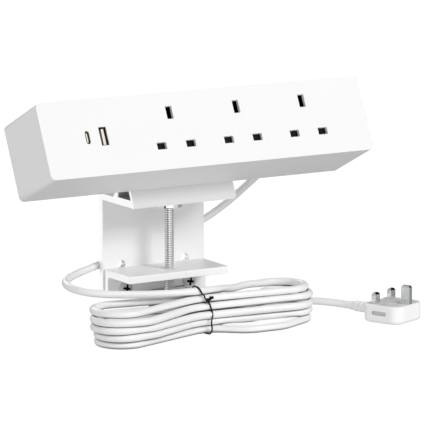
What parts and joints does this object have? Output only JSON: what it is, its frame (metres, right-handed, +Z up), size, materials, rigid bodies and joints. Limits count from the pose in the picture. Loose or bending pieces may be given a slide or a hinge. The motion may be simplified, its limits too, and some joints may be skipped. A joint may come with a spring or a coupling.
{
  "type": "desk power strip",
  "caption": "Tilted desk power strip with flat-pin mains sockets and USB ports on an aluminium screw clamp, with its tied mains lead and fused plug.",
  "frame": {"origin": "on the surface the knob and the tied lead stand on, below the middle of the box round the head and the clamp", "axes": "+X along the head to the right as seen by the user, +Y away from the user towards the desk's edge plate, +Z up"},
  "size_m": [0.2792, 0.1169, 0.1662],
  "materials": {
    "white_shell": "satin white, lightly textured",
    "cover_grey": "satin light grey",
    "zinc_steel": "zinc plated",
    "black_plastic": "moulded black",
    "shutter_black": "moulded black",
    "contact_brass": "stamped",
    "circuit_board": "green laminate",
    "usb_steel": "plated sheet",
    "usb_tint": "tinted plated sheet",
    "usb_cream": "cream",
    "usb_black": "black",
    "transformer_tape": "yellow tape on ferrite",
    "capacitor_can": "sleeved can",
    "chip_black": "moulded",
    "terminal_white": "natural nylon",
    "cord_jacket": "light grey flexible jacket",
    "core_sleeve": "core sleeves",
    "gland_grey": "light grey nylon",
    "white_aluminium": "white powder coat",
    "bush_steel": "pressed-in bush",
    "bright_chrome": "polished",
    "rubber_black": "matt",
    "knob_black": "moulded black",
    "tie_black": "plastic sleeved wire",
    "plug_white": "satin white",
    "plug_boot_white": "soft white",
    "pin_nickel": "nickel plated",
    "fuse_red": "moulded red",
    "fuse_ceramic": "ceramic tube with metal caps"
  },
  "bodies": {
    "frame": {"front_shell": "white_shell", "back_cover": "cover_grey", "cover_screws": "zinc_steel", "socket_body_1": "black_plastic", "socket_body_2": "black_plastic", "socket_body_3": "black_plastic", "live_bar": "contact_brass", "neutral_bar": "contact_brass", "earth_bar": "contact_brass", "usb_board": "circuit_board", "usb_a_shell": "usb_steel", "usb_a_tongue": "usb_cream", "usb_c_shell": "usb_tint", "usb_c_tongue": "usb_black", "usb_transformer": "transformer_tape", "usb_capacitors": "capacitor_can", "usb_chips": "chip_black", "terminal_block": "terminal_white", "terminal_screws": "zinc_steel", "inner_cable": "cord_jacket", "core_wires": "core_sleeve", "cord_gland": "gland_grey", "gland_nut": "gland_grey", "mount_inserts": "contact_brass", "mount_screws": "zinc_steel", "clamp_bracket": "white_aluminium", "lower_jaw": "white_aluminium", "jaw_screws": "zinc_steel", "jaw_bush": "bush_steel", "lead_cord": "cord_jacket", "cord_hank": "cord_jacket", "tail_cord": "cord_jacket", "twist_tie": "tie_black", "plug_boot": "plug_boot_white", "plug_body": "plug_white", "plug_face": "plug_white", "earth_pin": "pin_nickel", "line_pin": "pin_nickel", "neutral_pin": "pin_nickel"},
    "shutter_body_1": {"shutter_1": "shutter_black", "shutter_spring_1": "zinc_steel"},
    "shutter_body_2": {"shutter_2": "shutter_black", "shutter_spring_2": "zinc_steel"},
    "shutter_body_3": {"shutter_3": "shutter_black", "shutter_spring_3": "zinc_steel"},
    "pad": {"pressure_pad": "bright_chrome", "pad_face": "rubber_black"},
    "clamp_screw": {"clamp_rod": "zinc_steel", "knob": "knob_black", "knob_nut": "zinc_steel"},
    "fuse_drawer": {"fuse_carrier": "fuse_red", "fuse": "fuse_ceramic"}
  },
  "joints": [
    {"name": "shutter_slide_1", "type": "slide", "parent": "frame", "child": "shutter_body_1", "axis": [0, -0.4226, -0.9063], "range_m": [0, 0.0063], "stiffness_N_per_m": 40, "springref_m": -0.004, "deforming": ["shutter_spring_1"]},
    {"name": "shutter_slide_2", "type": "slide", "parent": "frame", "child": "shutter_body_2", "axis": [0, -0.4226, -0.9063], "range_m": [0, 0.0063], "stiffness_N_per_m": 40, "springref_m": -0.004, "deforming": ["shutter_spring_2"]},
    {"name": "shutter_slide_3", "type": "slide", "parent": "frame", "child": "shutter_body_3", "axis": [0, -0.4226, -0.9063], "range_m": [0, 0.0063], "stiffness_N_per_m": 40, "springref_m": -0.004, "deforming": ["shutter_spring_3"]},
    {"name": "pad_slide", "type": "slide", "parent": "frame", "child": "pad", "axis": [0, 0, 1], "range_m": [-0.04, 0]},
    {"name": "screw_turn", "type": "hinge", "parent": "pad", "child": "clamp_screw", "pos_m": [-0.001, 0.0181, 0.04], "axis": [0, 0, 1], "range_deg": [-11340, 0]},
    {"name": "fuse_slide", "type": "slide", "parent": "frame", "child": "fuse_drawer", "axis": [0, 0, 1], "range_m": [0, 0.01]}
  ],
  "couplings": [
    {"joint": "screw_turn", "follows": "pad_slide", "rad_per_m": 4947.4}
  ]
}
